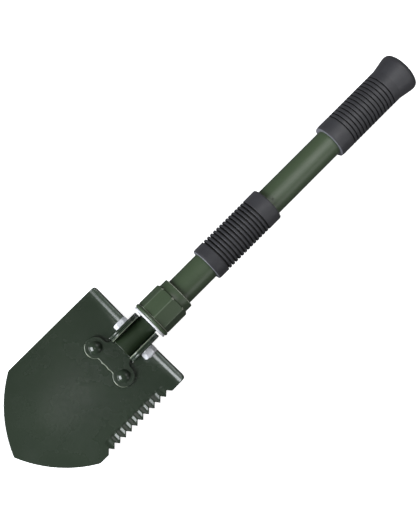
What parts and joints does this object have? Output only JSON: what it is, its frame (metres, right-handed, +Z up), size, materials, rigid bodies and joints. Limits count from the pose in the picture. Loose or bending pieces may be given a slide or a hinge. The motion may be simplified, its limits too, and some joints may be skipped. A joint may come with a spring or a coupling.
{
  "type": "camp shovel",
  "caption": "Folding camp shovel with a pointed saw-edged blade, a screw locking collar and a two-section tube handle with ribbed rubber grips.",
  "frame": {"origin": "middle of the shovel's length and width, at its lowest point as it lies on its back", "axes": "+X along the handle from the blade's tip to the grip's end, +Y across the blade to its plain edge, +Z up out of the blade's face"},
  "size_m": [0.411, 0.097, 0.0392],
  "materials": {
    "blade_paint": "satin dark olive-green paint on pressed steel",
    "handle_paint": "satin olive-green paint on steel",
    "grip_rubber": "matt charcoal rubber with moulded ribs",
    "zinc_plate": "bright zinc plate",
    "fibre": "red-brown vulcanised fibre"
  },
  "bodies": {
    "lower_handle": {"pivot_head": "handle_paint", "head_pin": "zinc_plate", "lower_tube": "handle_paint", "middle_grip": "grip_rubber", "joint_socket": "zinc_plate", "socket_pin": "zinc_plate"},
    "blade": {"blade": "blade_paint", "front_bracket": "blade_paint", "rear_bracket": "blade_paint", "left_rivet": "blade_paint", "right_rivet": "blade_paint", "pivot_bolt": "zinc_plate", "spring_washer": "zinc_plate", "pivot_nut": "zinc_plate"},
    "lock_ring": {"lock_ring": "zinc_plate"},
    "collar": {"locking_collar": "handle_paint"},
    "joint_washer": {"joint_washer": "fibre"},
    "upper_handle": {"joint_stud": "zinc_plate", "stud_pin": "handle_paint", "upper_tube": "handle_paint", "end_grip": "grip_rubber"}
  },
  "joints": [
    {"name": "blade_fold", "type": "hinge", "parent": "lower_handle", "child": "blade", "pos_m": [-0.0805, 0, 0.02282], "axis": [0, 1, 0], "range_deg": [0, 180]},
    {"name": "collar_travel", "type": "slide", "parent": "lower_handle", "child": "lock_ring", "axis": [1, 0, 0], "range_m": [-0.00151, 0.00801]},
    {"name": "collar_spin", "type": "hinge", "parent": "lock_ring", "child": "collar", "pos_m": [-0.05, 0, 0.02282], "axis": [1, 0, 0], "range_deg": [-270, 1440]},
    {"name": "handle_travel", "type": "slide", "parent": "lower_handle", "child": "joint_washer", "axis": [1, 0, 0], "range_m": [-0.00001, 0.02201]},
    {"name": "handle_spin", "type": "hinge", "parent": "joint_washer", "child": "upper_handle", "pos_m": [0.1, 0, 0.02282], "axis": [1, 0, 0], "range_deg": [0, 3960]}
  ],
  "couplings": [
    {"joint": "collar_travel", "follows": "collar_spin", "m_per_rad": 0.00031831},
    {"joint": "handle_travel", "follows": "handle_spin", "m_per_rad": 0.00031831}
  ]
}
